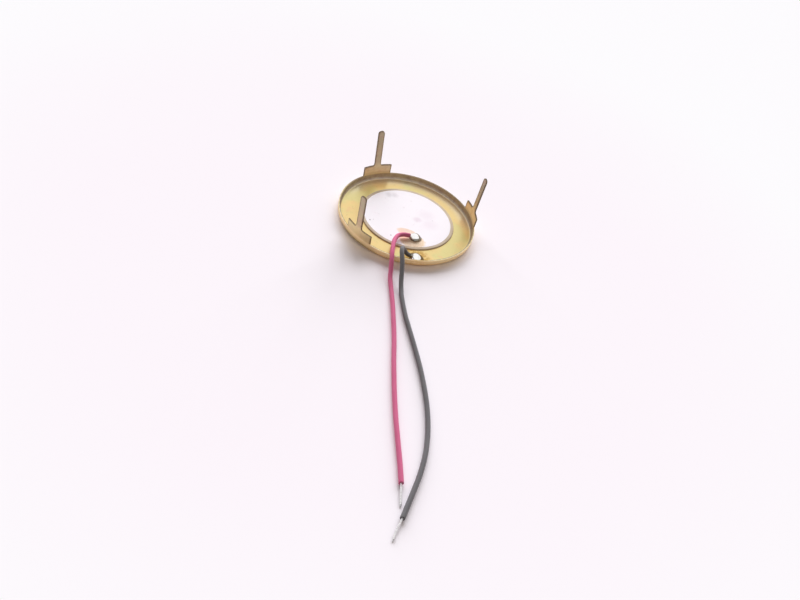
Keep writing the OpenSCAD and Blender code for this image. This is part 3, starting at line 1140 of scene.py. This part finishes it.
def solder(name, node, foot, foot_way, film, dark_arc_way, wire, reach):
    """Bright solder, darkened round its foot and in an arc over one side as painted dark reflection
    coloured like burnt flux, and darkened beside the lead.

    The foot and the film are heights, the film being that of the dark arc, and each way is the side of
    the joint where there is more of it.
    The wire is a place, and the reach says where the darkening round it begins and stops to fade.
    """
    bright, frosted, amber = (0.97, 0.96, 0.95), (0.88, 0.87, 0.85), (0.90, 0.74, 0.52)
    blackish, brownish = (0.13, 0.12, 0.09), (0.22, 0.16, 0.10)
    finish = new_finish(name, bright)
    centre = joint_of(node)[0]
    height = finish.axis(finish.place, "Z") / MM - centre.z
    frost = finish.noise(0.8, detail=3.0)
    low = height + 0.3 * frost - 0.22 * finish.along(centre, foot_way)
    climb = height + 0.3 * frost - 1.17 * finish.along(centre, dark_arc_way)
    beside = finish.distance(wire) + 0.4 * frost
    arc = climb.between(-0.7, -0.45) * climb.below(film, film + 0.12)
    burnt = low.below(foot, foot + 0.2).at_least(arc)
    burnt = burnt.at_least(beside.below(*reach))
    finish.coat(frost.between(0.45, 0.7), frosted)
    # Painted reflection: a tan band just inside the dark arc.
    finish.coat(climb.below(film + 0.10, film + 0.30) * 0.6, amber)
    # Painted dark reflection round the foot and over the far side, and darker beside the lead.
    finish.coat(burnt * 0.9, finish.mix(frost.between(0.4, 0.6), blackish, brownish))
    relief = finish.bump(finish.noise(1.1, detail=1.0), 0.04)
    roughness = 0.08 + 0.10 * frost.between(0.4, 0.7)
    return finish.surface(Metallic=1.0, Roughness=roughness, Normal=relief)


def dome(centre, radius, height):
    """(radius, height) pairs of a dome of solder, from below its foot up to its top."""
    ball = (radius * radius + height * height) / (2 * height)
    top = centre.z + height
    profile = [(0.0, top)]
    widest = asin(min(1.0, radius / ball))
    for k in range(1, DOME_STEPS + 1):
        turn = widest * k / DOME_STEPS
        profile.append((ball * sin(turn), top - ball * (1 - cos(turn))))
    profile += [(radius, centre.z - 0.5), (0.0, centre.z - 0.5)]
    return profile[::-1]


def neck(start, face, first):
    """Solder drawn out along the conductor, from the joint nearly to the insulation's face."""
    way = (face - start).normalized()
    side, up = sides_of(way)
    reach = (face - start).length - 0.10
    rings = Rings(NECK_SIDES, first)
    for along, r in [(-0.1, 0.0), (-0.1, 0.62), (reach * 0.55, 0.58), (reach * 0.8, 0.54),
                     (reach, 0.5), (reach, 0.0)]:
        middle = start + way * along
        corners = circle(NECK_SIDES) if r else [(0.0, 0.0)]
        rings.add([middle + (side * cosine + up * sine) * r for cosine, sine in corners])
    return rings.points, rings.faces()


def flow_together(piece):
    """Makes one soft skin of a piece's shells."""
    having(piece.modifiers.new("one_skin", "REMESH"), mode="VOXEL", voxel_size=0.05)
    having(piece.modifiers.new("flowed", "SMOOTH"), factor=0.5, iterations=6)
    piece.data = applied(piece)


def cut_flat(mesh, place):
    """Takes off what lies below a place, and closes the cut."""
    shape = bmesh.new()
    shape.from_mesh(mesh)
    cut = bmesh.ops.bisect_plane(
        shape, geom=shape.verts[:] + shape.edges[:] + shape.faces[:], plane_co=place,
        plane_no=(0, 0, -1), clear_outer=True)
    rim = [e for e in cut["geom_cut"] if isinstance(e, bmesh.types.BMEdge)]
    bmesh.ops.holes_fill(shape, edges=rim)
    shape.to_mesh(mesh)
    shape.free()


def solder_joint(name, node, route, material):
    """A dome of solder with a foot that wets the surface, drawn out along the conductor."""
    centre, radius, height = joint_of(node)
    points, faces = lathe(dome(centre, radius, height), centre, columns=DOME_SIDES)
    neck_points, neck_faces = neck(entry_of(node), Vector(route[0]), len(points))
    piece = new_object(name, mesh_of(name, points + neck_points, faces + neck_faces))
    flow_together(piece)
    cut_flat(piece.data, centre)
    finished(piece, material, node)


def make_joints():
    # Each film is the height of the painted dark arc on its dome.
    on_silver = solder("solder_on_silver", "ceramic_solder", foot=0.50, foot_way=(0.6, -0.8),
                       film=0.82, dark_arc_way=(0.42, 0.91), wire=RED_ROUTE[0], reach=(0.2, 0.4))
    on_brass = solder("solder_on_brass", "brass_solder", foot=0.20, foot_way=(0.4, 0.9),
                      film=0.96, dark_arc_way=(0.15, 0.99), wire=BLACK_ROUTE[0], reach=(0.9, 1.3))
    solder_joint("ceramic_joint", "ceramic_solder", RED_ROUTE, on_silver)
    solder_joint("brass_joint", "brass_solder", BLACK_ROUTE, on_brass)


# ---- studio

def make_floor():
    """A plain pale table, faintly rosy round the object."""
    rosy, pale = (0.98, 0.91, 0.965), (0.98, 0.965, 0.985)
    finish = new_finish("table", rosy)
    shade = finish.noise(60.0, detail=1.0)
    far = finish.distance((0.0, -20.0, 0.0)).between(60.0, 160.0)
    finish.coat((far + 0.3 * shade).at_most(1.0), pale)
    material = finish.surface(Roughness=0.9, Specular_IOR_Level=0.0)
    half = 3000.0 * MM
    under = cad_low.z - 0.01 * MM
    corners = [(-half, -half, under), (half, -half, under), (half, half, under), (-half, half, under)]
    table = new_object("table", mesh_of("table", corners, [[0, 1, 2, 3]]))
    table.data.materials.append(material)


def make_world():
    """White round the object, also as metal shows it, and a weaker, warmer light on the rest."""
    world = bpy.data.worlds.new("studio")
    bpy.context.scene.world = world
    finish = Finish(world, ROOM_COLOUR)
    rays = finish.node("ShaderNodeLightPath").outputs
    mirrored = Value(finish, rays["Is Glossy Ray"]).at_least(rays["Is Transmission Ray"])
    shown = Value(finish, rays["Is Camera Ray"]).at_least(mirrored)
    finish.coat(shown, WHITE)
    sky = finish.node("ShaderNodeBackground", Color=finish.colour, Strength=1.0)
    finish.node("ShaderNodeOutputWorld", Surface=sky.outputs[0])


def make_window():
    """A wide low window behind the object, as three soft lights that are even over the table."""
    up = radians(WINDOW_UP)
    for number, around in enumerate(WINDOW_AROUND):
        data = having(bpy.data.lights.new(f"window_{number}", "SUN"), energy=WINDOW_POWER,
                      angle=radians(WINDOW_SPREAD), color=WINDOW_COLOUR)
        turn = radians(around)
        towards = Vector((sin(turn) * cos(up), cos(turn) * cos(up), sin(up)))
        having(new_object(data.name, data), rotation_mode="QUATERNION", location=towards,
               rotation_quaternion=(-towards).to_track_quat("-Z", "Y"), visible_glossy=False)


def make_studio():
    make_floor()
    make_world()
    make_window()
    bpy.context.scene.view_settings.view_transform = "Standard"


# ---- all of it


set_camera()
make_leads()
make_dish()
make_wafer()
make_joints()
make_studio()
